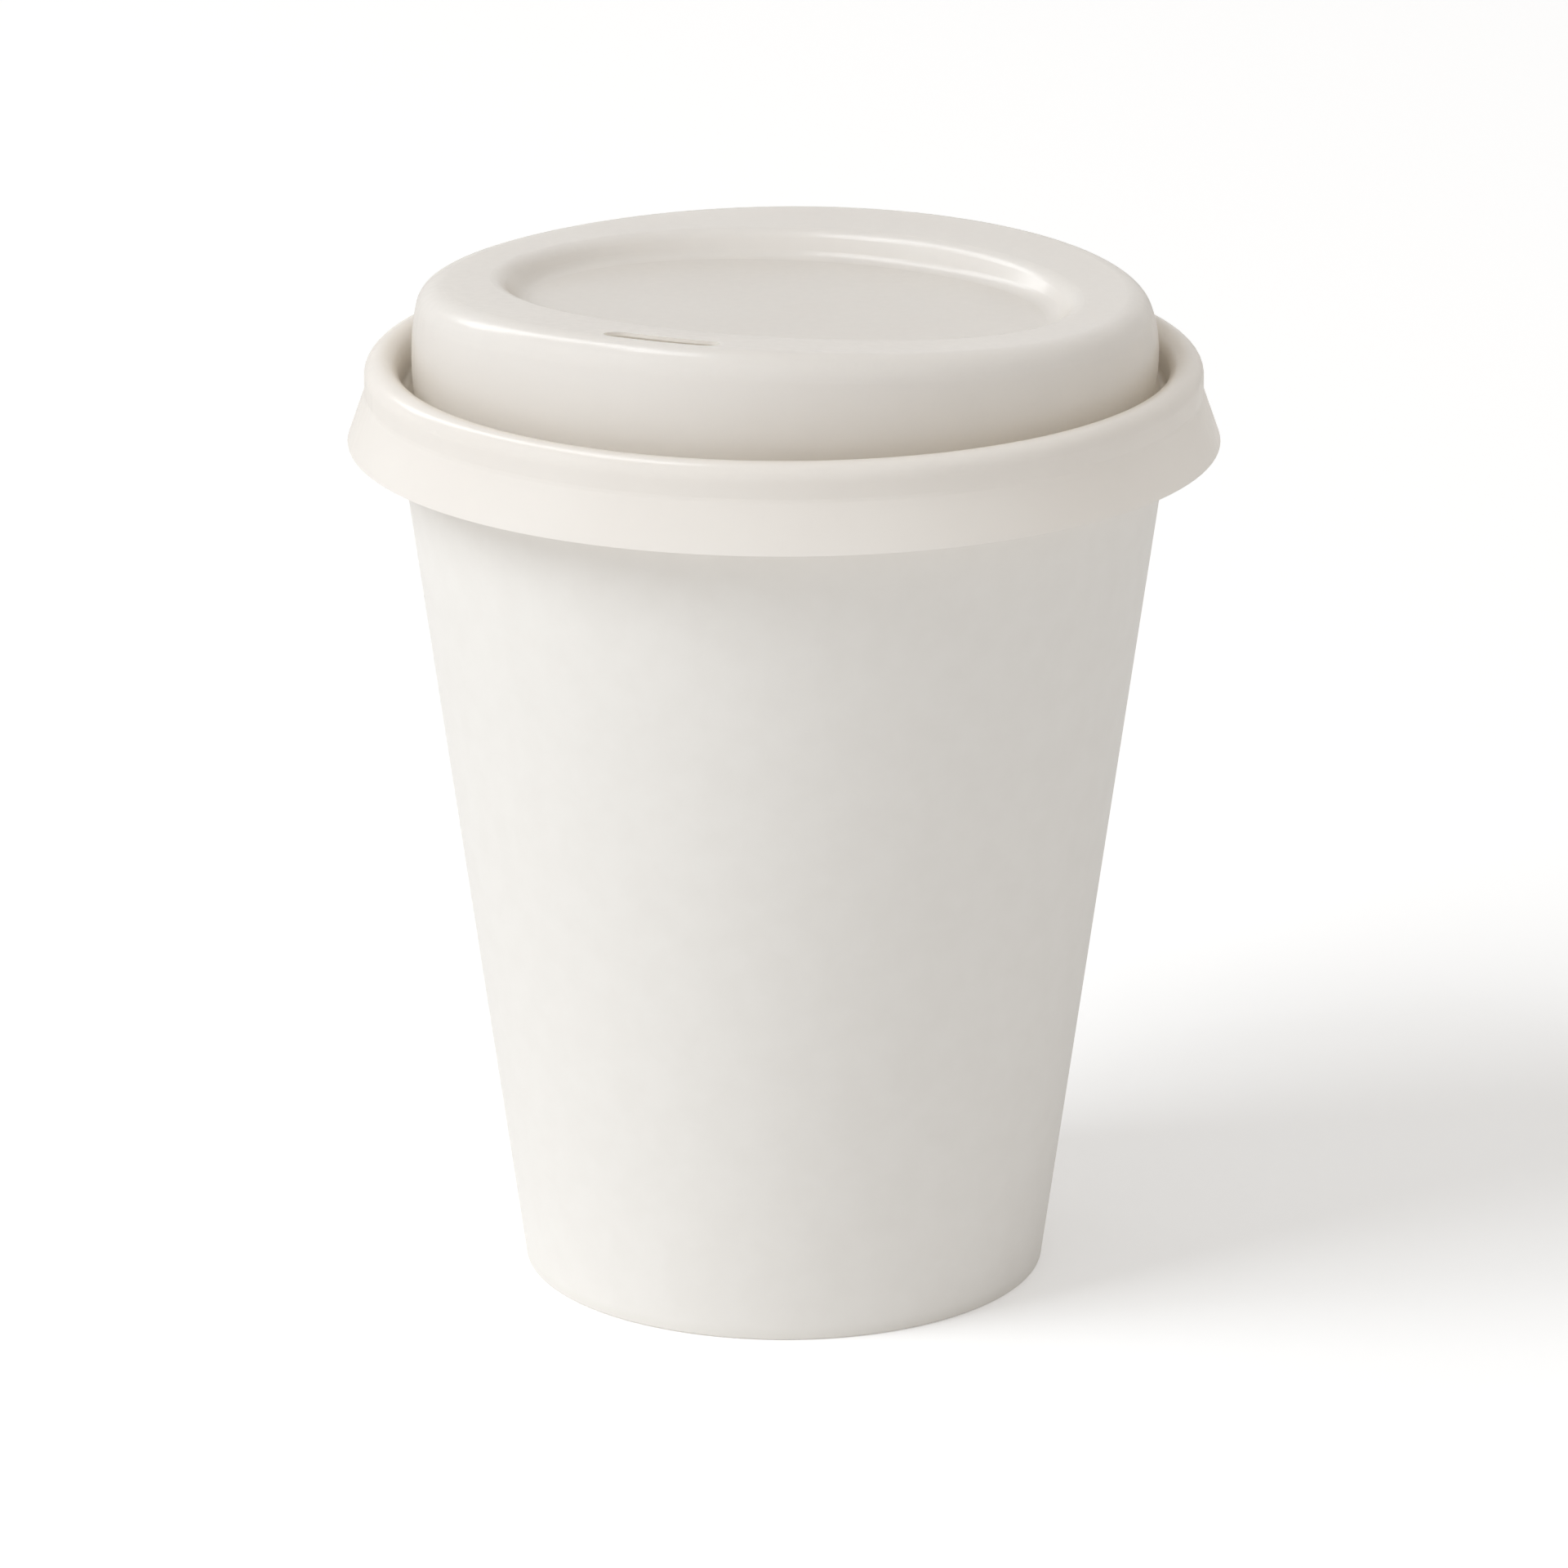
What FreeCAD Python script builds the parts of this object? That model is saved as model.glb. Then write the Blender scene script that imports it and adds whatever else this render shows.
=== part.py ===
import FreeCAD, Part
import Sketcher

import math
import os

# Paper coffee cup with a plastic sip lid, in millimetres
# +Z is up, the cup stands on Z = 0, and the sip slot faces -Y

# Driving dimensions

SIZES = {
    # Cup sidewall: coated board, wrapped to a cone
    "board_thickness": 0.35,
    "cup_height": 103.0,
    "foot_radius": 28.8,
    "rim_radius": 45.0,
    "curl_width": 2.5,
    "curl_turn": 300.0,
    "fold_height": 6.5,
    "fold_corner": 0.3,
    "seam_angle": 11.0,
    "glue_gap": 0.05,
    # Cup base: a drawn disc with its skirt turned down
    "base_thickness": 0.35,
    "base_lift": 1.5,
    "base_corner": 1.2,
    "base_end_gap": 0.3,
    # Lid rim: one formed sheet over the cup's rolled rim, with heights counted from that rim
    "sheet": 0.4,
    "rim_gap": 0.2,
    "skirt_flare": 1.9,
    "skirt_drop": 8.6,
    "neck_drop": 3.2,
    "neck_round": 1.2,
    "plug_depth": 3.4,
    "groove_width": 1.4,
    # Lid land: the dome's top dips to its lowest behind the middle and rises to the sip end
    "land_rise": 7.5,
    "land_shift": 16.4,
    "land_bend": 416.0,
    # Lid dome: its wall swells out over the groove and draws in to a circle above the land
    "dome_waist_rise": 3.0,
    "dome_swell": 0.2,
    "dome_waist_shift": 0.3,
    "dome_excess": 3.15,
    "dome_draw_in": 2.65,
    "dome_top_shift": -1.55,
    "dome_tilt": 2.7,
    "dome_round": 2.9,
    # Lid recess: an oval floor inside the dome's edge, and a wall that leans out from it
    "floor_margin_sides": 8.0,
    "floor_margin_ends": 14.1,
    "recess_shift": 0.9,
    "recess_depth": 2.1,
    "recess_tilt": 1.2,
    "recess_cut": 4.6,
    "recess_lean": 4.1,
    "recess_edge_round": 2.2,
    "recess_floor_round": 2.2,
    # Lid openings
    "slot_length": 13.0,
    "slot_width": 3.6,
    "slot_inset": 3.3,
    "vent_width": 1.5,
    "vent_inset": 5.7,
}


# A size keeps its number and the formula that drives it

class Size:
    def __init__(self, number, formula):
        self.number = number
        self.formula = formula

    def __add__(self, other):
        return combine(self, "+", other, number_of(self) + number_of(other))

    def __sub__(self, other):
        return combine(self, "-", other, number_of(self) - number_of(other))

    def __mul__(self, other):
        return combine(self, "*", other, number_of(self) * number_of(other))

    def __truediv__(self, other):
        return combine(self, "/", other, number_of(self) / number_of(other))

    def __neg__(self):
        return Size(-self.number, f"(-{self.formula})")


def number_of(value):
    return value.number if isinstance(value, Size) else float(value)


def formula_of(value):
    return value.formula if isinstance(value, Size) else repr(float(value))


def combine(left, sign, right, number):
    return Size(number, f"({formula_of(left)} {sign} {formula_of(right)})")


def sine(angle):
    return Size(math.sin(math.radians(angle.number)), f"sin({angle.formula})")


def cosine(angle):
    return Size(math.cos(math.radians(angle.number)), f"cos({angle.formula})")


def tangent(angle):
    return Size(math.tan(math.radians(angle.number)), f"tan({angle.formula})")


def arc_tangent(value):
    return Size(math.degrees(math.atan(value.number)), f"atan({value.formula})")


def arc_sine(value):
    return Size(math.degrees(math.asin(value.number)), f"asin({value.formula})")


def root(value):
    return Size(math.sqrt(value.number), f"sqrt({value.formula})")


doc = FreeCAD.newDocument("paper_cup")
sheet = doc.addObject("Spreadsheet::Sheet", "Sizes")
for row, (alias, value) in enumerate(SIZES.items(), start=1):
    sheet.set(f"A{row}", alias)
    sheet.set(f"B{row}", str(value))
    sheet.setAlias(f"B{row}", alias)
doc.recompute()


def size(alias):
    return Size(SIZES[alias], f"Sizes.{alias}")


def turn_size(alias):
    return Size(SIZES[alias], f"(Sizes.{alias} * 1 deg)")


# Shared helpers

def bind(thing, path, value):
    thing.setExpression(path, formula_of(value))


def new_body(label):
    body = doc.addObject("PartDesign::Body", label)
    body.Label = label
    doc.recompute()
    return body


def new_sketch(body, name, role="XZ_Plane", height=None, shift=None, tilt=None):
    plane = next(item for item in body.Origin.OriginFeatures if item.Role == role)
    sketch = body.newObject("Sketcher::SketchObject", name)
    sketch.AttachmentSupport = [(plane, "")]
    sketch.MapMode = "FlatFace"
    turn = FreeCAD.Rotation(FreeCAD.Vector(1, 0, 0), -1.0 if tilt else 0.0)
    sketch.AttachmentOffset = FreeCAD.Placement(FreeCAD.Vector(), turn)
    if tilt:
        bind(sketch, "AttachmentOffset.Rotation.Angle", -tilt)
    if height:
        bind(sketch, "AttachmentOffset.Base.z", height)
    if shift:
        bind(sketch, "AttachmentOffset.Base.y", shift)
    doc.recompute()
    return sketch


def hold(sketch, kind, *place_and_value):
    *place, value = place_and_value
    index = sketch.addConstraint(Sketcher.Constraint(kind, *place, number_of(value)))
    if isinstance(value, Size):
        bind(sketch, f"Constraints[{index}]", value)


def pin_along(sketch, edge, end, kind, value):
    if number_of(value) == 0:
        axis = -2 if kind == "DistanceX" else -1
        sketch.addConstraint(Sketcher.Constraint("PointOnObject", edge, end, axis))
    else:
        hold(sketch, kind, -1, 1, edge, end, value)


def pin(sketch, edge, end, point):
    pin_along(sketch, edge, end, "DistanceX", point[0])
    pin_along(sketch, edge, end, "DistanceY", point[1])


def vector(point):
    return FreeCAD.Vector(number_of(point[0]), number_of(point[1]), 0)


def arc_point(centre, radius, angle):
    return (centre[0] + radius * cosine(angle), centre[1] + radius * sine(angle))


# A closed outline, corner by corner. A corner with a centre is reached along an arc, whose
# ends are pinned and whose centre can then only slide across the line between them

def draw_outline(sketch, corners):
    points = [corner["to"] for corner in corners]
    for number, corner in enumerate(corners):
        start = points[number - 1]
        finish = corner["to"]
        if "centre" in corner:
            centre = vector(corner["centre"])
            first, last = (finish, start) if corner["clockwise"] else (start, finish)
            circle = Part.Circle(centre, FreeCAD.Vector(0, 0, 1), number_of(corner["radius"]))
            angles = [circle.parameter(vector(point)) for point in (first, last)]
            edge = sketch.addGeometry(Part.ArcOfCircle(circle, *angles), False)
            pin(sketch, edge, 1, first)
            pin(sketch, edge, 2, last)
            chord = vector(last) - vector(first)
            if abs(chord.x) > abs(chord.y):
                pin_along(sketch, edge, 3, "DistanceY", corner["centre"][1])
            else:
                pin_along(sketch, edge, 3, "DistanceX", corner["centre"][0])
        else:
            edge = sketch.addGeometry(Part.LineSegment(vector(start), vector(finish)), False)
            pin(sketch, edge, 1, start)
            pin(sketch, edge, 2, finish)
    doc.recompute()


def line_to(radius, height):
    return {"to": (radius, height)}


def arc_to(point, centre, radius, clockwise):
    return {"to": point, "centre": centre, "radius": radius, "clockwise": clockwise}


def draw_circle(sketch, radius):
    circle = Part.Circle(FreeCAD.Vector(), FreeCAD.Vector(0, 0, 1), number_of(radius))
    edge = sketch.addGeometry(circle, False)
    sketch.addConstraint(Sketcher.Constraint("Coincident", edge, 3, -1, 1))
    hold(sketch, "Radius", edge, radius)
    doc.recompute()


# An oval is wider along X than along Y, and its axes are the two lines that come with it

def draw_oval(sketch, half_width, half_length):
    oval = Part.Ellipse(FreeCAD.Vector(), number_of(half_width), number_of(half_length))
    edge = sketch.addGeometry(oval, False)
    sketch.exposeInternalGeometry(edge)
    long_axis = edge + 1
    short_axis = edge + 2
    sketch.addConstraint(Sketcher.Constraint("Coincident", edge, 3, -1, 1))
    sketch.addConstraint(Sketcher.Constraint("PointOnObject", long_axis, 1, -1))
    hold(sketch, "DistanceX", -1, 1, long_axis, 1, half_width)
    hold(sketch, "DistanceY", -1, 1, short_axis, 1, half_length)
    doc.recompute()


def revolve(body, name, sketch, turn=360.0):
    feature = body.newObject("PartDesign::Revolution", name)
    feature.Profile = sketch
    feature.ReferenceAxis = (sketch, ["V_Axis"])
    feature.Midplane = True
    feature.Angle = number_of(turn)
    if isinstance(turn, Size):
        bind(feature, "Angle", turn)
    doc.recompute()
    return feature


def loft(body, kind, name, sketches, ruled):
    feature = body.newObject(f"PartDesign::{kind}Loft", name)
    feature.Profile = sketches[0]
    feature.Sections = sketches[1:]
    feature.Ruled = ruled
    doc.recompute()
    return feature


def pocket(body, name, sketch, sides, length):
    before = body.Shape.Volume
    feature = body.newObject("PartDesign::Pocket", name)
    feature.Profile = sketch
    feature.SideType = sides
    feature.Length = number_of(length)
    bind(feature, "Length", length)
    doc.recompute()
    if body.Shape.Volume >= before:
        raise ValueError(f"{name} cuts nothing")


# Rings of edges are found by the surface that they lie on: each of these gives a point's
# distance from such a surface, a level plane, a sketch's plane or the lid's bent land

def off_level(height):
    return lambda point: point.z - number_of(height)


def off_sketch(sketch):
    return lambda point: sketch.Placement.inverse().multVec(point).z


def off_land(point):
    middle_y, middle_z = number_of(land_centre[0]), number_of(land_centre[1])
    return math.hypot(point.y - middle_y, point.z - middle_z) - size("land_bend").number


def edges_on(shape, distance_off, low):
    names = []
    for number, edge in enumerate(shape.Edges, start=1):
        points = edge.discretize(9)
        on_surface = all(abs(distance_off(point)) < 0.01 for point in points)
        if on_surface and min(math.hypot(point.x, point.y) for point in points) > low:
            names.append(f"Edge{number}")
    return names


def round_ring(body, name, distance_off, radius, inside):
    base = body.Tip
    feature = body.newObject("PartDesign::Fillet", name)
    feature.Base = (base, edges_on(base.Shape, distance_off, number_of(inside)))
    feature.Radius = number_of(radius)
    bind(feature, "Radius", radius)
    doc.recompute()
    return feature


# Cup: where the walls run

ground = Size(0.0, "0")
curl = size("curl_width") / 2
curl_centre = (size("rim_radius") - curl, size("cup_height") - curl)
curl_inside = curl - size("board_thickness")
foot_to_curl = curl_centre[0] - size("foot_radius")
taper = arc_tangent(foot_to_curl / curl_centre[1]) - arc_sine(
    curl_inside / root(foot_to_curl * foot_to_curl + curl_centre[1] * curl_centre[1])
)


def wall_outer(height):
    return size("foot_radius") + tangent(taper) * height


def inside_wall(height, depth):
    return wall_outer(height) - depth / cosine(taper)


def wall_inner(height):
    return inside_wall(height, size("board_thickness"))


skirt_outside = size("board_thickness") + size("glue_gap")
skirt_inside = skirt_outside + size("base_thickness")
fold_outside = skirt_inside + size("glue_gap")
fold_inside = fold_outside + size("board_thickness")


# Cup sidewall: rolled rim, cone and bottom fold in one section, with a lapped side seam

def make_sidewall():
    body = new_body("cup_sidewall")
    section = new_sketch(body, "wall_section")
    half_turn = Size(180.0, "180 deg")
    curl_start = half_turn - taper
    curl_end = curl_start - turn_size("curl_turn")
    floor = size("board_thickness")
    fold_top = size("fold_height")
    draw_outline(section, [
        line_to(wall_outer(ground), 0),
        line_to(*arc_point(curl_centre, curl_inside, curl_start)),
        arc_to(arc_point(curl_centre, curl_inside, curl_end), curl_centre, curl_inside, True),
        line_to(*arc_point(curl_centre, curl, curl_end)),
        arc_to(arc_point(curl_centre, curl, curl_start), curl_centre, curl, False),
        line_to(wall_inner(floor), floor),
        line_to(inside_wall(floor, fold_outside), floor),
        line_to(inside_wall(fold_top, fold_outside), fold_top),
        line_to(inside_wall(fold_top, fold_inside), fold_top),
        line_to(inside_wall(ground, fold_inside), 0),
    ])
    revolve(body, "wall", section)
    foot_inside = inside_wall(ground, fold_inside)
    round_ring(body, "fold_corners", off_level(0), size("fold_corner"), foot_inside - floor)
    make_seam(body)
    return body


def make_seam(body):
    section = new_sketch(body, "seam_section", role="YZ_Plane")
    low = size("fold_corner")
    high = curl_centre[1] - curl - size("board_thickness")
    buried = size("board_thickness") / 2
    raised = -size("board_thickness")
    draw_outline(section, [
        line_to(inside_wall(low, buried), low),
        line_to(inside_wall(low, raised), low),
        line_to(inside_wall(high, raised), high),
        line_to(inside_wall(high, buried), high),
    ])
    revolve(body, "seam", section, turn_size("seam_angle"))


# Cup base: a drawn disc whose skirt sits between the wall and its fold

def make_base():
    body = new_body("cup_base")
    section = new_sketch(body, "base_section")
    under = size("fold_height") + size("base_lift")
    top = under + size("base_thickness")
    end = size("board_thickness") + size("base_end_gap")
    draw_outline(section, [
        line_to(0, under),
        line_to(inside_wall(under, skirt_inside), under),
        line_to(inside_wall(end, skirt_inside), end),
        line_to(inside_wall(end, skirt_outside), end),
        line_to(inside_wall(top, skirt_outside), top),
        line_to(0, top),
    ])
    revolve(body, "disc", section)
    round_ring(body, "top_corner", off_level(top), size("base_corner"), size("base_corner"))
    inner_round = size("base_corner") - size("base_thickness")
    round_ring(body, "under_corner", off_level(under), inner_round, inner_round)
    return body


# Lid: the outer face as a solid first, then hollowed to one sheet

bead = curl + size("rim_gap") + size("sheet")
groove_round = size("groove_width") / 2
groove_level = size("cup_height") - size("plug_depth") + groove_round
groove_outer = inside_wall(groove_level, size("board_thickness") + size("rim_gap") + size("sheet"))
groove_inner = groove_outer - size("groove_width")
groove_centre = (groove_outer - groove_round, groove_level)
skirt_edge = size("cup_height") - size("skirt_drop")
neck = size("cup_height") - size("neck_drop")
neck_radius = curl_centre[0] + bead
land_level = size("cup_height") + size("land_rise")
land_centre = (size("land_shift"), land_level + size("land_bend"))
waist_radius = groove_inner + size("dome_swell")
top_radius = waist_radius - size("dome_draw_in")
top_level = land_level + size("dome_excess")
floor_level = land_level - size("recess_depth")
floor_half_width = top_radius - size("floor_margin_sides")
floor_half_length = top_radius - size("floor_margin_ends")
slot_distance = top_radius - size("slot_inset")
vent_distance = floor_half_length - size("vent_inset")
above = top_level + tangent(turn_size("dome_tilt")) * neck_radius + size("sheet")


def make_lid():
    body = new_body("lid")
    section = new_sketch(body, "rim_section")
    bead_end = Size(180.0, "180 deg") - taper
    draw_outline(section, [
        line_to(0, skirt_edge),
        line_to(neck_radius + size("skirt_flare"), skirt_edge),
        line_to(neck_radius, neck),
        line_to(neck_radius, curl_centre[1]),
        arc_to(arc_point(curl_centre, bead, bead_end), curl_centre, bead, False),
        line_to(groove_outer, groove_level),
        arc_to((groove_inner, groove_level), groove_centre, groove_round, True),
        line_to(0, groove_level),
    ])
    revolve(body, "rim", section)
    make_dome(body)
    make_recess(body)
    round_ring(body, "neck_round", off_level(neck), size("neck_round"), waist_radius)
    hollow_out(body)
    cut_openings(body)
    return body


def make_dome(body):
    foot = new_sketch(body, "dome_foot", role="XY_Plane", height=groove_level)
    draw_circle(foot, groove_inner)
    waist = new_sketch(
        body, "dome_waist", role="XY_Plane",
        height=size("cup_height") + size("dome_waist_rise"), shift=size("dome_waist_shift"),
    )
    draw_circle(waist, waist_radius)
    top = new_sketch(
        body, "dome_top", role="XY_Plane",
        height=top_level, shift=size("dome_top_shift"), tilt=turn_size("dome_tilt"),
    )
    draw_circle(top, top_radius)
    loft(body, "Additive", "dome", [foot, waist, top], False)
    cut_land(body)
    round_ring(body, "dome_round", off_land, size("dome_round"), floor_half_length)


def cut_land(body):
    section = new_sketch(body, "land_section", role="YZ_Plane")
    front = land_point(-neck_radius)
    back = land_point(neck_radius)
    draw_outline(section, [
        line_to(*front),
        arc_to(back, land_centre, size("land_bend"), False),
        line_to(back[0], above),
        line_to(front[0], above),
    ])
    pocket(body, "land", section, "Symmetric", neck_radius * 2)


def land_point(distance):
    offset = distance - land_centre[0]
    return (distance, land_centre[1] - root(size("land_bend") * size("land_bend") - offset * offset))


def make_recess(body):
    tilt = turn_size("recess_tilt")
    floor = new_sketch(
        body, "recess_floor", role="XY_Plane",
        height=floor_level, shift=size("recess_shift"), tilt=tilt,
    )
    draw_oval(floor, floor_half_width, floor_half_length)
    mouth = new_sketch(
        body, "recess_mouth", role="XY_Plane",
        height=floor_level + size("recess_cut"), shift=size("recess_shift"), tilt=tilt,
    )
    lean = size("recess_lean")
    draw_oval(mouth, floor_half_width + lean, floor_half_length + lean)
    loft(body, "Subtractive", "recess", [mouth, floor], True)
    round_ring(body, "recess_edge", off_land, size("recess_edge_round"), vent_distance)
    round_ring(body, "recess_corner", off_sketch(floor), size("recess_floor_round"), vent_distance)


def hollow_out(body):
    base = body.Tip
    number = next(
        index for index, face in enumerate(base.Shape.Faces, start=1)
        if abs(face.CenterOfMass.z - skirt_edge.number) < 0.001
    )
    feature = body.newObject("PartDesign::Thickness", "hollow")
    feature.Base = (base, [f"Face{number}"])
    feature.Reversed = True
    feature.Join = 0
    feature.Value = size("sheet").number
    bind(feature, "Value", size("sheet"))
    doc.recompute()


def cut_openings(body):
    slot = new_sketch(body, "slot_outline", role="XY_Plane", height=above)
    draw_slot(slot)
    pocket(body, "slot", slot, "One side", above - size("cup_height") - size("dome_waist_rise"))
    vent = new_sketch(body, "vent_outline", role="XY_Plane", height=above, shift=-vent_distance)
    draw_circle(vent, size("vent_width") / 2)
    pocket(body, "vent", vent, "One side", above - size("cup_height"))


def draw_slot(sketch):
    half_width = size("slot_width") / 2
    half_length = size("slot_length") / 2 - half_width
    half_angle = arc_tangent(half_length / slot_distance)
    front = Size(-90.0, "(-90 deg)")
    centre = (ground, ground)
    near = slot_distance - half_width
    far = slot_distance + half_width
    left = front - half_angle
    right = front + half_angle
    left_end = arc_point(centre, slot_distance, left)
    right_end = arc_point(centre, slot_distance, right)
    draw_outline(sketch, [
        arc_to(arc_point(centre, near, left), centre, near, True),
        arc_to(arc_point(centre, far, left), left_end, half_width, False),
        arc_to(arc_point(centre, far, right), centre, far, False),
        arc_to(arc_point(centre, near, right), right_end, half_width, False),
    ])


bodies = [make_sidewall(), make_base(), make_lid()]
doc.recompute()

# Checks on every object, and then the files

for item in doc.Objects:
    if "Invalid" in item.State or "Error" in item.State:
        raise ValueError(f"{item.Label} did not recompute")
for body in bodies:
    if body.Shape.isNull() or not body.Shape.isValid():
        raise ValueError(f"{body.Label} has no valid shape")

os.makedirs("parts", exist_ok=True)
for body in bodies:
    body.Shape.exportStep(f"parts/{body.Label}.step")
    box = body.Shape.BoundBox
    print(f"{body.Label}: {body.Shape.Volume:.0f} cubic mm, {box.XLength:.1f} x {box.YLength:.1f}"
          f" x {box.ZLength:.1f} mm, from Z {box.ZMin:.2f}")
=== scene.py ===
# %% [markdown]
# # A paper takeaway cup with its sip lid
#
# The object is a tapered cup of coated white board with a rolled rim, closed by a thin lid
# formed from one sheet of white plastic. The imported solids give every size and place, and
# this script gives them their looks.

import math

import bmesh
import bpy
from mathutils import Matrix, Vector


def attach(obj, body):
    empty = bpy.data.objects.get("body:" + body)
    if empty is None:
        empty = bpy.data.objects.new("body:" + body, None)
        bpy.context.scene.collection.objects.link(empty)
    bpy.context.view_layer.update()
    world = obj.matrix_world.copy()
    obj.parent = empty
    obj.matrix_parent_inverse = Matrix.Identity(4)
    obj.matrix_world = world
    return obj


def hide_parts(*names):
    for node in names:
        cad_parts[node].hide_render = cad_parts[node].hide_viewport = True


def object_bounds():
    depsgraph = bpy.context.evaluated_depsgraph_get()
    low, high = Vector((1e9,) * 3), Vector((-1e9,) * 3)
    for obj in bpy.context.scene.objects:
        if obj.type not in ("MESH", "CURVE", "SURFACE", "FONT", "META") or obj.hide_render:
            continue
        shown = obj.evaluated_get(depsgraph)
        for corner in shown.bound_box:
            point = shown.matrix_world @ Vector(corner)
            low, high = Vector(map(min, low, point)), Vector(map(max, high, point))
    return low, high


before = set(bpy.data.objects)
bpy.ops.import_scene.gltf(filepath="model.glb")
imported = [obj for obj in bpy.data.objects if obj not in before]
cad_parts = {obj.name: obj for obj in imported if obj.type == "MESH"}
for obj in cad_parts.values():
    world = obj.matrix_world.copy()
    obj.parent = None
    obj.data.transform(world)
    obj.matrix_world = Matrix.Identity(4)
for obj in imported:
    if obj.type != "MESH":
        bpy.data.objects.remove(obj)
cad_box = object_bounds()
print("packed box", cad_box)

# %% [markdown]
# ## The camera
#
# The photograph was taken from a little above the lid with a long lens, so the sides of the
# cup barely converge. A long lens far away gives that look, and a short one close by would
# not. The sip slot faces -Y, and in the photograph it is turned to the left, so the camera
# stands a little to the right of the front.

# %% Place the camera
LENS_MM = 200.0
SENSOR_MM = 36.0
VIEW_LIMIT = 10.0
CAMERA_TURN = math.radians(22.0)
CAMERA_REACH = 0.9157
CAMERA_HEIGHT = 0.3462
CAMERA_PITCH = math.radians(17.668)

camera_data = bpy.data.cameras.new("camera")
camera_data.lens = LENS_MM
camera_data.sensor_width = SENSOR_MM
camera_data.clip_end = VIEW_LIMIT
camera = bpy.data.objects.new("camera", camera_data)
bpy.context.scene.collection.objects.link(camera)
camera.location = (
    CAMERA_REACH * math.sin(CAMERA_TURN),
    -CAMERA_REACH * math.cos(CAMERA_TURN),
    CAMERA_HEIGHT,
)
camera.rotation_euler = (math.pi / 2 - CAMERA_PITCH, 0.0, CAMERA_TURN)
bpy.context.scene.camera = camera
print("camera at", [round(value, 3) for value in camera.location])

# %% [markdown]
# ## Light
#
# The cup is lit like a product on a table by a window. Two tall soft panels stand side by
# side on the left, a little to the front, with the narrow gap of a window bar between them.
# They stand well back, so the floor is lit evenly and the cup drops one long soft shadow to
# the right. They are kept out of the gloss, so they draw no streak along the dome's edge.

# %% Light the cup
KEY_RISE = math.radians(41.0)
KEY_DISTANCE = 5.0
PANEL_TURNS = (math.radians(-76.0), math.radians(-56.0))
PANEL_SIZE = (1.35, 2.5)
PANEL_POWER = 69.0
PANEL_COLOUR = (0.94, 0.972, 1.0)


def add_panel(name, turn, rise, distance, size, power):
    panel = bpy.data.lights.new(name, "AREA")
    panel.shape = "RECTANGLE"
    panel.size, panel.size_y = size
    panel.energy = power
    panel.color = PANEL_COLOUR
    lamp = bpy.data.objects.new(name, panel)
    bpy.context.scene.collection.objects.link(lamp)
    around = CAMERA_TURN + turn
    toward = Vector((math.sin(around), -math.cos(around), 0.0)) * math.cos(rise)
    toward.z = math.sin(rise)
    aim = Vector((0.0, 0.0, cad_box[1][2] / 2))
    lamp.location = aim + toward * distance
    lamp.rotation_euler = toward.to_track_quat("Z", "Y").to_euler()
    return lamp


for number, turn in enumerate(PANEL_TURNS, start=1):
    name = f"window_panel_{number}"
    lamp = add_panel(name, turn, KEY_RISE, KEY_DISTANCE, PANEL_SIZE, PANEL_POWER)
    lamp.visible_glossy = False
print("window panels:", len(PANEL_TURNS))

# %% [markdown]
# ## Highlights on the lid
#
# Two more panels do the opposite and are seen only in the gloss. One is overhead and one is
# behind on the left, and they draw the highlights on the far wall of the lid's recess.

# %% Add the gloss panels
GLOSS_DISTANCE = 2.0
GLOSS_PANELS = (
    ("overhead_gloss", -114.0, 71.0, (0.5, 0.5), 7.0),
    ("rear_gloss", -134.0, 44.0, (0.5, 1.6), 15.0),
)
for name, turn, rise, size, power in GLOSS_PANELS:
    place = (math.radians(turn), math.radians(rise))
    lamp = add_panel(name, *place, GLOSS_DISTANCE, size, power)
    lamp.visible_diffuse = False

# %% [markdown]
# ## White surroundings
#
# The background is plain white. The world looks white to the camera and in the gloss of the
# lid, and only a softer warm light from it reaches the object, so the white backdrop doesn't
# wash out the shading. The Light Path node tells these two kinds of ray apart.

# %% Set the world
FILL_STRENGTH = 0.52
FILL_COLOUR = (1.0, 0.97, 0.93, 1.0)
WHITE = (1.0, 1.0, 1.0, 1.0)


def add_node(tree, kind, **settings):
    node = tree.nodes.new(kind)
    for name, value in settings.items():
        if hasattr(node, name):
            setattr(node, name, value)
        else:
            node.inputs[name.replace("_", " ")].default_value = value
    return node


def seen_directly(tree):
    rays = add_node(tree, "ShaderNodeLightPath")
    either = add_node(tree, "ShaderNodeMath", operation="MAXIMUM")
    tree.links.new(rays.outputs["Is Camera Ray"], either.inputs[0])
    tree.links.new(rays.outputs["Is Glossy Ray"], either.inputs[1])
    seen = add_node(tree, "ShaderNodeMath", operation="MAXIMUM")
    tree.links.new(either.outputs[0], seen.inputs[0])
    tree.links.new(rays.outputs["Is Transmission Ray"], seen.inputs[1])
    return seen.outputs[0]


world = bpy.data.worlds.new("white_surround")
world.use_nodes = True
bpy.context.scene.world = world
tree = world.node_tree
tree.nodes.clear()
fill = add_node(tree, "ShaderNodeBackground", Color=FILL_COLOUR, Strength=FILL_STRENGTH)
backdrop = add_node(tree, "ShaderNodeBackground", Color=WHITE, Strength=1.0)
choose = add_node(tree, "ShaderNodeMixShader")
world_end = add_node(tree, "ShaderNodeOutputWorld")
tree.links.new(seen_directly(tree), choose.inputs[0])
tree.links.new(fill.outputs[0], choose.inputs[1])
tree.links.new(backdrop.outputs[0], choose.inputs[2])
tree.links.new(choose.outputs[0], world_end.inputs[0])
bpy.context.scene.view_settings.view_transform = "Standard"
print("fill light", FILL_STRENGTH)

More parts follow.
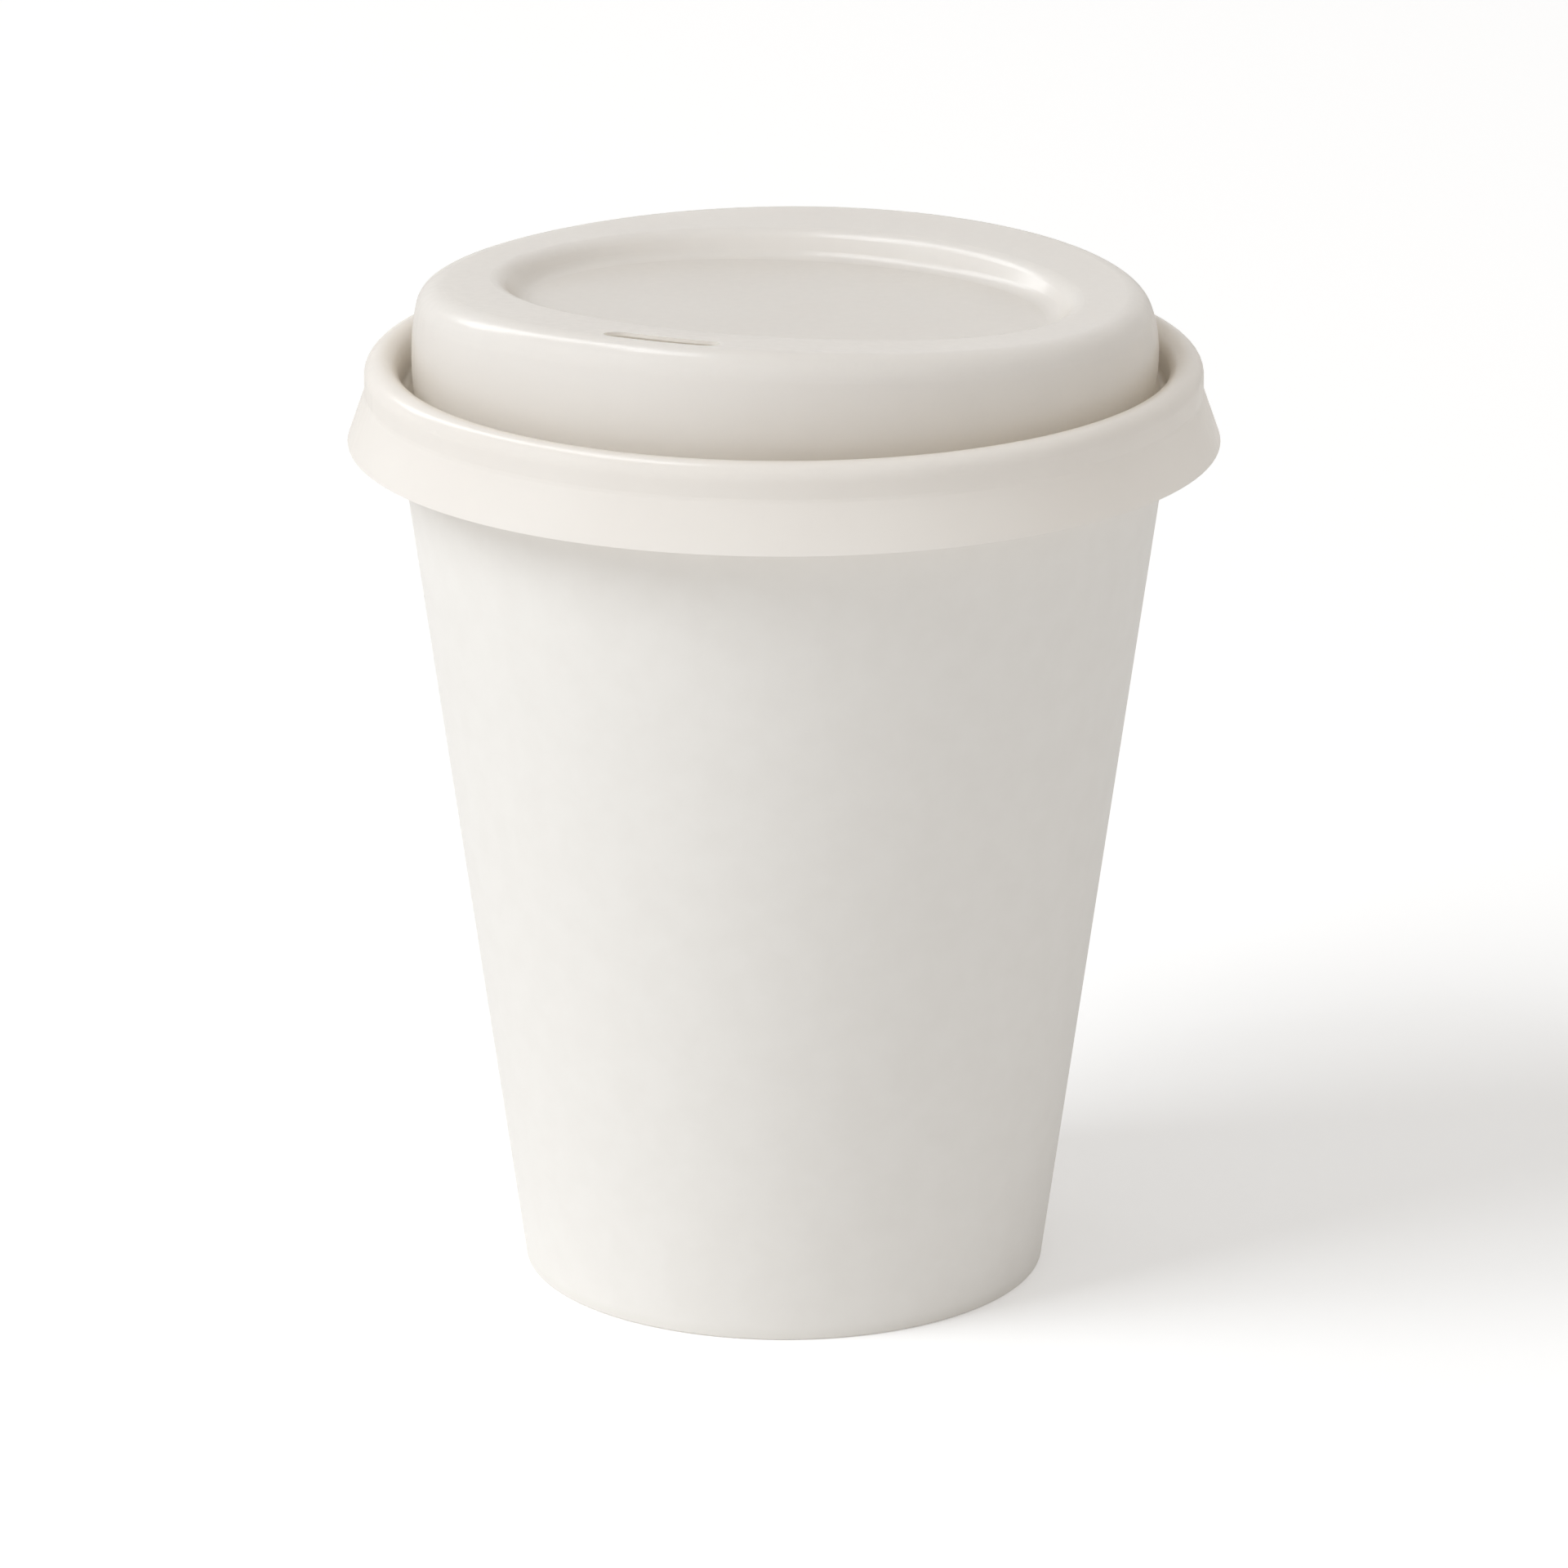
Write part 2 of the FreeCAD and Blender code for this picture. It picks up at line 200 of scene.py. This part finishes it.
# %% [markdown]
# ## Light between white walls
#
# White board and white plastic hand light on many times before it is gone, most of all in
# the groove round the dome and in the sip slot. Blender stops a diffuse ray after four
# bounces unless told otherwise, and such places come out too dark, so it gets more here.

# %% Allow more bounces
DEEP_BOUNCES = 12

tracer = bpy.context.scene.cycles
tracer.diffuse_bounces = DEEP_BOUNCES
tracer.max_bounces = DEEP_BOUNCES
print("bounces", DEEP_BOUNCES)

# %% [markdown]
# ## The floor
#
# The cup stands on a plain white table that runs out of sight. A white diffuse floor alone
# would come out grey in this soft light, so it has a little glow of its own that only the
# camera sees. The lit floor then reaches white, and the shadow of the cup still shows.

# %% Make the floor
FLOOR_HALF = 3.0
FLOOR_COLOUR = (0.96, 0.96, 0.965, 1.0)
FLOOR_GLOW = 0.20
FLOOR_ROUGHNESS = 0.8


def add_floor():
    shell = bmesh.new()
    bmesh.ops.create_grid(shell, x_segments=1, y_segments=1, size=FLOOR_HALF)
    mesh = bpy.data.meshes.new("floor")
    shell.to_mesh(mesh)
    shell.free()
    floor = bpy.data.objects.new("floor", mesh)
    bpy.context.scene.collection.objects.link(floor)
    return floor


def paint_floor():
    paint = bpy.data.materials.new("white_table")
    paint.use_nodes = True
    tree = paint.node_tree
    surface = tree.nodes["Principled BSDF"]
    surface.inputs["Base Color"].default_value = FLOOR_COLOUR
    surface.inputs["Roughness"].default_value = FLOOR_ROUGHNESS
    surface.inputs["Emission Color"].default_value = WHITE
    rays = add_node(tree, "ShaderNodeLightPath")
    glow = add_node(tree, "ShaderNodeMath", operation="MULTIPLY")
    glow.inputs[1].default_value = FLOOR_GLOW
    tree.links.new(rays.outputs["Is Camera Ray"], glow.inputs[0])
    tree.links.new(glow.outputs[0], surface.inputs["Emission Strength"])
    return paint


add_floor().data.materials.append(paint_floor())
print("floor is", FLOOR_HALF * 2, "m wide")

# %% [markdown]
# ## Helpers for the finishes
#
# Each finish reads Object coordinates, which here are plain metres from the middle of the
# foot. A noise scale of 1000 then gives blotches about a millimetre across. A noise texture
# gives values from 0 to 1, but nearly all of them lie about the middle, so each is spread
# out before use. A Mix node has its own sockets for each kind of value, and its colours are
# inputs 6 and 7 and output 2. These helpers keep the node wiring short.

# %% Wire a few common nodes
MILLIMETRE = 0.001
NOISE_NARROW = (0.35, 0.65)
NOISE_WIDE = (0.3, 0.7)
MIX_COLOURS = (6, 7)
MIX_RESULT = 2


def new_finish(name):
    finish = bpy.data.materials.new(name)
    finish.use_nodes = True
    return finish, finish.node_tree, finish.node_tree.nodes["Principled BSDF"]


def noise(tree, grain_mm, stretch=(1.0, 1.0, 1.0), detail=3.0):
    place = add_node(tree, "ShaderNodeTexCoord")
    pull = add_node(tree, "ShaderNodeMapping", Scale=stretch)
    cloud = add_node(tree, "ShaderNodeTexNoise", Detail=detail)
    cloud.inputs["Scale"].default_value = 1.0 / (grain_mm * MILLIMETRE)
    tree.links.new(place.outputs["Object"], pull.inputs["Vector"])
    tree.links.new(pull.outputs["Vector"], cloud.inputs["Vector"])
    return cloud.outputs["Fac"]


def remap(tree, value, start, end):
    scale = add_node(tree, "ShaderNodeMapRange")
    for socket, number in zip(("From Min", "From Max", "To Min", "To Max"), (*start, *end)):
        scale.inputs[socket].default_value = number
    tree.links.new(value, scale.inputs["Value"])
    return scale.outputs["Result"]


def blend_colours(tree, factor, first, second):
    mix = add_node(tree, "ShaderNodeMix", data_type="RGBA")
    tree.links.new(factor, mix.inputs["Factor"])
    for number, colour in zip(MIX_COLOURS, (first, second)):
        if isinstance(colour, tuple):
            mix.inputs[number].default_value = colour
        else:
            tree.links.new(colour, mix.inputs[number])
    return mix.outputs[MIX_RESULT]


def raise_grain(tree, surface, heights, depth_mm, strength):
    bump = add_node(tree, "ShaderNodeBump", Strength=strength)
    bump.inputs["Distance"].default_value = depth_mm * MILLIMETRE
    tree.links.new(heights, bump.inputs["Height"])
    tree.links.new(bump.outputs["Normal"], surface.inputs["Normal"])
    return bump


def height_above_floor(tree):
    place = add_node(tree, "ShaderNodeTexCoord")
    split = add_node(tree, "ShaderNodeSeparateXYZ")
    tree.links.new(place.outputs["Object"], split.inputs[0])
    return split.outputs["Z"]


print("one millimetre is", MILLIMETRE, "m")

# %% [markdown]
# ## The board of the cup
#
# The wall is bleached board, a warm white with a dull clay coat. Up close it has faint clouds
# a few millimetres wide where the fibres lie thicker, and a fine grain drawn out up the wall.
# Both are noise textures, one plain and one stretched. The foot picks up a trace of wear.
# Inside, a film that holds the drink makes the same board glossier.

# %% Mix the board finish
BOARD_LIGHT = (0.880, 0.858, 0.822, 1.0)
BOARD_DARK = (0.866, 0.843, 0.806, 1.0)
BOARD_WORN = (0.78, 0.755, 0.705, 1.0)
CLOUD_GRAIN = 3.5
FIBRE_GRAIN = 0.35
UP_THE_WALL = (1.0, 1.0, 0.3)
FIBRE_DEPTH = 0.008
FIBRE_RELIEF = 0.12
WEAR_HEIGHT = 1.6 * MILLIMETRE
WEAR_SHARE = 0.5
BOARD_GLOSS = 0.35
COAT_ROUGHNESS = (0.5, 0.64)
FILM_ROUGHNESS = (0.22, 0.34)


def board_finish(name, roughness):
    finish, tree, surface = new_finish(name)
    clouds = remap(tree, noise(tree, CLOUD_GRAIN), NOISE_NARROW, (0.0, 1.0))
    fibres = noise(tree, FIBRE_GRAIN, UP_THE_WALL, detail=4.0)
    board = blend_colours(tree, clouds, BOARD_DARK, BOARD_LIGHT)
    wear = remap(tree, height_above_floor(tree), (0.0, WEAR_HEIGHT), (WEAR_SHARE, 0.0))
    tree.links.new(blend_colours(tree, wear, board, BOARD_WORN), surface.inputs["Base Color"])
    tree.links.new(remap(tree, fibres, NOISE_WIDE, roughness), surface.inputs["Roughness"])
    surface.inputs["Specular IOR Level"].default_value = BOARD_GLOSS
    raise_grain(tree, surface, fibres, FIBRE_DEPTH, FIBRE_RELIEF)
    return finish


board = board_finish("clay_coated_board", COAT_ROUGHNESS)
lined_board = board_finish("film_lined_board", FILM_ROUGHNESS)
print("board finishes:", board.name, lined_board.name)

# %% [markdown]
# ## The cut edge of the board
#
# Where the blank was cut, its bare fibres show as a rough edge, a little yellower than the
# coated faces. One fine noise gives it its speckle, its roughness and its relief.

# %% Mix the cut edge
PULP_LIGHT = (0.87, 0.845, 0.78, 1.0)
PULP_DARK = (0.78, 0.74, 0.65, 1.0)
PULP_GRAIN = 0.12
PULP_DEPTH = 0.05
PULP_RELIEF = 0.4
PULP_ROUGHNESS = (0.8, 0.95)


def cut_edge_finish(name):
    finish, tree, surface = new_finish(name)
    pulp = noise(tree, PULP_GRAIN, detail=4.0)
    layers = remap(tree, pulp, NOISE_NARROW, (0.0, 1.0))
    tree.links.new(blend_colours(tree, layers, PULP_DARK, PULP_LIGHT), surface.inputs["Base Color"])
    rough = remap(tree, pulp, NOISE_WIDE, PULP_ROUGHNESS)
    tree.links.new(rough, surface.inputs["Roughness"])
    raise_grain(tree, surface, pulp, PULP_DEPTH, PULP_RELIEF)
    return finish


raw_edge = cut_edge_finish("raw_board_edge")
print("cut edge finish:", raw_edge.name)

# %% [markdown]
# ## The plastic of the lid
#
# The lid is one thin sheet of milky plastic, drawn hot over a mould. Light soaks through it,
# so the sip slot isn't black inside. A Principled surface mixed with a Translucent one does
# that on a wall of real thickness. The sheet is thinnest round the foot of the dome, where it
# was drawn deepest, so more light comes through there. It also has a faint orange-peel skin,
# broad drifts in tint, and draw marks that run down its walls.

# %% Mix the lid finish
PLASTIC_LIGHT = (0.935, 0.921, 0.908, 1.0)
PLASTIC_DARK = (0.922, 0.905, 0.890, 1.0)
PLASTIC_GLOW = (1.0, 0.97, 0.92, 1.0)
THROUGH_SHARE = 0.4
THIN_SHARE = 0.66
PLUG_RADIUS = 43.2 * MILLIMETRE
PLUG_FOOT = 99.6 * MILLIMETRE
DOME_TOP = 110.0 * MILLIMETRE
DRIFT_GRAIN = 14.0
SKIN_GRAIN = 0.6
DRAW_GRAIN = 1.1
DOWN_THE_WALL = (1.0, 1.0, 0.06)
SKIN_DEPTH = 0.02
SKIN_RELIEF = 0.1
SHEET_GLOSS = 0.4
SHEET_ROUGHNESS = (0.19, 0.25)


def drawn_thin(tree):
    place = add_node(tree, "ShaderNodeTexCoord")
    flat = add_node(tree, "ShaderNodeMapping", Scale=(1.0, 1.0, 0.0))
    away = add_node(tree, "ShaderNodeVectorMath", operation="LENGTH")
    tree.links.new(place.outputs["Object"], flat.inputs["Vector"])
    tree.links.new(flat.outputs["Vector"], away.inputs[0])
    plug_edge = (PLUG_RADIUS, PLUG_RADIUS + MILLIMETRE)
    inside = remap(tree, away.outputs["Value"], plug_edge, (1.0, 0.0))
    deep = remap(tree, height_above_floor(tree), (PLUG_FOOT, DOME_TOP), (1.0, 0.0))
    both = add_node(tree, "ShaderNodeMath", operation="MULTIPLY")
    tree.links.new(inside, both.inputs[0])
    tree.links.new(deep, both.inputs[1])
    return remap(tree, both.outputs[0], (0.0, 1.0), (THROUGH_SHARE, THIN_SHARE))


def plastic_finish(name):
    finish, tree, surface = new_finish(name)
    drift = remap(tree, noise(tree, DRIFT_GRAIN), NOISE_NARROW, (0.0, 1.0))
    tint = blend_colours(tree, drift, PLASTIC_DARK, PLASTIC_LIGHT)
    tree.links.new(tint, surface.inputs["Base Color"])
    skin = noise(tree, SKIN_GRAIN, detail=2.0)
    draw = noise(tree, DRAW_GRAIN, DOWN_THE_WALL, detail=2.0)
    rough = remap(tree, draw, NOISE_WIDE, SHEET_ROUGHNESS)
    tree.links.new(rough, surface.inputs["Roughness"])
    relief = add_node(tree, "ShaderNodeMath", operation="ADD")
    tree.links.new(skin, relief.inputs[0])
    tree.links.new(draw, relief.inputs[1])
    bump = raise_grain(tree, surface, relief.outputs[0], SKIN_DEPTH, SKIN_RELIEF)
    surface.inputs["Specular IOR Level"].default_value = SHEET_GLOSS
    through = add_node(tree, "ShaderNodeBsdfTranslucent", Color=PLASTIC_GLOW)
    tree.links.new(bump.outputs["Normal"], through.inputs["Normal"])
    share = add_node(tree, "ShaderNodeMixShader")
    tree.links.new(drawn_thin(tree), share.inputs["Fac"])
    tree.links.new(surface.outputs[0], share.inputs[1])
    tree.links.new(through.outputs[0], share.inputs[2])
    tree.links.new(share.outputs[0], tree.nodes["Material Output"].inputs["Surface"])
    return finish


lid_plastic = plastic_finish("milky_sheet")
print("lid finish:", lid_plastic.name)

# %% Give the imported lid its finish
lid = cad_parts["lid"]
for slot in lid.material_slots:
    slot.material = lid_plastic
print("finished node:", lid.name)

# %% [markdown]
# ## Turning a section into a shell
#
# Both board pieces are round, so each starts as a bent line, the middle of the board seen in
# section. A vertex is pushed along the straight runs and spun about a centre for the bends.
# The finished line is spun round the cup's axis, and a Solidify modifier gives it the real
# thickness of the board. A Bevel then softens the cut edges.

# %% Trace and spin a section
BOARD_THICKNESS = 0.35 * MILLIMETRE
ROUND_STEPS = 360
SAME_PLACE = 0.0005 * MILLIMETRE
EDGE_ROUND = 0.05 * MILLIMETRE
EDGE_ANGLE = math.radians(60.0)
UP = Vector((0.0, 0.0, 1.0))
ACROSS = Vector((0.0, 1.0, 0.0))


def run_to(shell, start, radius, height, pieces=1):
    begin = start.co.copy()
    end = Vector((radius, 0.0, height))
    for number in range(1, pieces + 1):
        start = bmesh.ops.extrude_vert_indiv(shell, verts=[start])["verts"][0]
        start.co = begin.lerp(end, number / pieces)
    return start


def bend(shell, start, centre, turn, steps):
    middle = Vector((centre[0], 0.0, centre[1]))
    arc = bmesh.ops.spin(
        shell, geom=[start], cent=middle, axis=ACROSS, angle=turn, steps=steps, use_merge=False
    )
    return next(item for item in arc["geom_last"] if isinstance(item, bmesh.types.BMVert))


def spin_round(shell, steps):
    line = shell.verts[:] + shell.edges[:]
    bmesh.ops.spin(
        shell, geom=line, cent=Vector(), axis=UP, angle=math.tau, steps=steps, use_merge=True
    )
    bmesh.ops.remove_doubles(shell, verts=shell.verts[:], dist=SAME_PLACE)


def face_out(shell, faces, height):
    bmesh.ops.recalc_face_normals(shell, faces=faces)
    near = min(faces, key=lambda face: abs(face.calc_center_median().z - height))
    middle = near.calc_center_median()
    if near.normal.x * middle.x + near.normal.y * middle.y < 0:
        bmesh.ops.reverse_faces(shell, faces=faces)


def board_piece(shell, name, materials):
    for face in shell.faces:
        face.smooth = True
    mesh = bpy.data.meshes.new(name)
    shell.to_mesh(mesh)
    shell.free()
    for material in materials:
        mesh.materials.append(material)
    piece = bpy.data.objects.new(name, mesh)
    bpy.context.scene.collection.objects.link(piece)
    wall = piece.modifiers.new("board", "SOLIDIFY")
    wall.thickness = BOARD_THICKNESS
    wall.offset = 0.0
    wall.use_even_offset = True
    wall.material_offset = 1
    wall.material_offset_rim = 2
    edge = piece.modifiers.new("cut_edges", "BEVEL")
    edge.width = EDGE_ROUND
    edge.segments = 2
    edge.limit_method = "ANGLE"
    edge.angle_limit = EDGE_ANGLE
    edge.harden_normals = True
    return piece


print("steps round the cup:", ROUND_STEPS)

# %% [markdown]
# ## The wall of the cup
#
# The wall is one blank of board wrapped to a cone. Its top is rolled outward into the rim and
# its foot is folded up inside, round the skirt of the base. The section line follows the
# board all the way: up the inside fold, round the foot, up the wall and round the curl.

# %% Trace the wall
CUP_HEIGHT = 103.0 * MILLIMETRE
FOOT_RADIUS = 28.8 * MILLIMETRE
RIM_RADIUS = 45.0 * MILLIMETRE
CURL_RADIUS = 1.25 * MILLIMETRE
CURL_TURN = math.radians(300.0)
FOLD_HEIGHT = 6.5 * MILLIMETRE
GLUE_LINE = 0.05 * MILLIMETRE
FOOT_BEND = 0.2 * MILLIMETRE
HALF_BOARD = BOARD_THICKNESS / 2
FOLD_ROWS = 8
WALL_ROWS = 14
BEND_STEPS = 5
CURL_STEPS = 30

curl_centre = (RIM_RADIUS - CURL_RADIUS, CUP_HEIGHT - CURL_RADIUS)
curl_middle = CURL_RADIUS - HALF_BOARD
lean = curl_centre[0] - FOOT_RADIUS
curl_inside = CURL_RADIUS - BOARD_THICKNESS
TAPER = math.atan(lean / curl_centre[1]) - math.asin(curl_inside / math.hypot(lean, curl_centre[1]))
fold_depth = 2 * (BOARD_THICKNESS + GLUE_LINE) + HALF_BOARD


def wall_radius(height, depth):
    return FOOT_RADIUS + math.tan(TAPER) * height - depth / math.cos(TAPER)


def trace_wall(shell):
    step_in = FOOT_BEND * math.cos(TAPER)
    step_up = FOOT_BEND * math.sin(TAPER)
    bend_level = HALF_BOARD + FOOT_BEND
    start = shell.verts.new((wall_radius(FOLD_HEIGHT, fold_depth), 0.0, FOLD_HEIGHT))
    fold_foot = bend_level + step_up
    line = run_to(shell, start, wall_radius(fold_foot, fold_depth), fold_foot, FOLD_ROWS)
    inner = (wall_radius(fold_foot, fold_depth) + step_in, bend_level)
    line = bend(shell, line, inner, -(math.pi / 2 + TAPER), BEND_STEPS)
    wall_foot = bend_level - step_up
    outer = (wall_radius(wall_foot, HALF_BOARD) - step_in, bend_level)
    line = run_to(shell, line, outer[0], HALF_BOARD)
    line = bend(shell, line, outer, -(math.pi / 2 - TAPER), BEND_STEPS)
    curl_start = math.pi - TAPER
    top_radius = curl_centre[0] + curl_middle * math.cos(curl_start)
    top_height = curl_centre[1] + curl_middle * math.sin(curl_start)
    line = run_to(shell, line, top_radius, top_height, WALL_ROWS)
    bend(shell, line, curl_centre, CURL_TURN, CURL_STEPS)


print("taper", round(math.degrees(TAPER), 2), "degrees")

# %% [markdown]
# ## The knurled fold and the side seam
#
# The fold is pressed against the base by a toothed roller, which leaves fine upright grooves
# inside the foot. The blank's two ends overlap in one glued seam up the back. The outer end
# stops in a crisp step, and on its other side the board rises gently over the end below, so
# the lap is a second narrow strip whose one flank dives into the wall.

# %% Press the fold and lay the seam
KNURL_COUNT = 90
KNURL_DEPTH = 0.05 * MILLIMETRE
KNURL_LOW = 1.0 * MILLIMETRE
KNURL_HIGH = 5.6 * MILLIMETRE
SEAM_WIDTH = math.radians(11.0)
SEAM_RAMP = math.radians(3.5)
SEAM_TOP = 100.1 * MILLIMETRE
SEAM_STEPS = 24


def ease(value):
    value = min(max(value, 0.0), 1.0)
    return value * value * (3.0 - 2.0 * value)


def push_out(vert, amount):
    radius = math.hypot(vert.co.x, vert.co.y)
    vert.co.x *= 1.0 + amount / radius
    vert.co.y *= 1.0 + amount / radius


def knurl_fold(shell):
    for vert in shell.verts:
        on_fold = math.hypot(vert.co.x, vert.co.y) < wall_radius(vert.co.z, fold_depth / 2)
        if on_fold and KNURL_LOW < vert.co.z < KNURL_HIGH:
            around = math.atan2(vert.co.y, vert.co.x)
            push_out(vert, KNURL_DEPTH * (0.5 * math.cos(KNURL_COUNT * around) - 0.5))


def add_seam(shell):
    wall_faces = set(shell.faces)
    start = shell.verts.new((wall_radius(FOOT_BEND, HALF_BOARD), 0.0, FOOT_BEND * 2))
    run_to(shell, start, wall_radius(SEAM_TOP, HALF_BOARD), SEAM_TOP, WALL_ROWS)
    line = [item for item in shell.verts if not item.link_faces]
    edges = [item for item in shell.edges if not item.link_faces]
    known = set(shell.verts) - set(line)
    low_side = math.pi / 2 - SEAM_WIDTH / 2 - SEAM_RAMP
    turn = Matrix.Rotation(low_side, 3, "Z")
    bmesh.ops.rotate(shell, verts=line, cent=Vector(), matrix=turn)
    bmesh.ops.spin(
        shell, geom=line + edges, cent=Vector(), axis=UP,
        angle=SEAM_WIDTH + SEAM_RAMP, steps=SEAM_STEPS, use_merge=False,
    )
    for vert in shell.verts:
        if vert not in known:
            share = (math.atan2(vert.co.y, vert.co.x) - low_side) / SEAM_RAMP
            push_out(vert, BOARD_THICKNESS * ease(share))
    strip = [face for face in shell.faces if face not in wall_faces]
    face_out(shell, strip, CUP_HEIGHT / 2)


print("grooves in the fold:", KNURL_COUNT)

# %% Build the wall
wall_shell = bmesh.new()
trace_wall(wall_shell)
spin_round(wall_shell, ROUND_STEPS)
knurl_fold(wall_shell)
face_out(wall_shell, wall_shell.faces[:], CUP_HEIGHT / 2)
add_seam(wall_shell)
cup_wall = board_piece(wall_shell, "cup_wall", [board, lined_board, raw_edge])
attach(cup_wall, "cup")
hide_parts("cup_sidewall")
print("wall faces before thickness:", len(cup_wall.data.polygons))

# %% [markdown]
# ## The base of the cup
#
# The base is a disc of the same board, pressed into a shallow tray and glued in upside down.
# Its skirt stands between the wall and the fold. Board doesn't stretch, so the drawn corner
# gathers in fine pleats, and the middle sags a little. Two slow waves round the base make
# some pleats deeper than others, as they are on a real one.

# %% Build the base
BASE_UNDER = 8.0 * MILLIMETRE
BASE_CORNER = 1.2 * MILLIMETRE
BASE_END = 0.65 * MILLIMETRE
BASE_SAG = 0.3 * MILLIMETRE
PLEAT_COUNT = 60
PLEAT_DEPTH = 0.09 * MILLIMETRE
PLEAT_START = 0.86
PLEAT_MEAN = 0.6
PLEAT_DRIFTS = ((0.25, 7, 0.0), (0.15, 17, 1.0))
FLAT_ROWS = 14
CORNER_STEPS = 8
SKIRT_ROWS = 6
skirt_depth = BOARD_THICKNESS + GLUE_LINE + HALF_BOARD


def trace_base(shell):
    level = BASE_UNDER + HALF_BOARD
    corner = BASE_CORNER - HALF_BOARD
    centre_height = level - corner
    skirt_top = centre_height - corner * math.sin(TAPER)
    centre_radius = wall_radius(skirt_top, skirt_depth) - corner * math.cos(TAPER)
    start = shell.verts.new((0.0, 0.0, level))
    line = run_to(shell, start, centre_radius, level, FLAT_ROWS)
    centre = (centre_radius, centre_height)
    line = bend(shell, line, centre, math.pi / 2 + TAPER, CORNER_STEPS)
    run_to(shell, line, wall_radius(BASE_END, skirt_depth), BASE_END, SKIRT_ROWS)
    return centre_radius


def press_base(shell, flat_radius):
    for vert in shell.verts:
        radius = math.hypot(vert.co.x, vert.co.y)
        around = math.atan2(vert.co.y, vert.co.x)
        uneven = PLEAT_MEAN
        for share, waves, start in PLEAT_DRIFTS:
            uneven += share * math.sin(waves * around + start)
        pleat = PLEAT_DEPTH * uneven * (0.5 - 0.5 * math.cos(PLEAT_COUNT * around))
        near_corner = ease((radius / flat_radius - PLEAT_START) / (1.0 - PLEAT_START))
        if vert.co.z > BASE_UNDER - BASE_CORNER:
            vert.co.z -= BASE_SAG * ease(1.0 - radius / flat_radius) + pleat * near_corner


base_shell = bmesh.new()
flat_radius = trace_base(base_shell)
spin_round(base_shell, ROUND_STEPS)
press_base(base_shell, flat_radius)
face_out(base_shell, base_shell.faces[:], BASE_END)
cup_disc = board_piece(base_shell, "cup_disc", [lined_board, board, raw_edge])
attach(cup_disc, "cup")
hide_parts("cup_base")
print("base faces before thickness:", len(cup_disc.data.polygons))
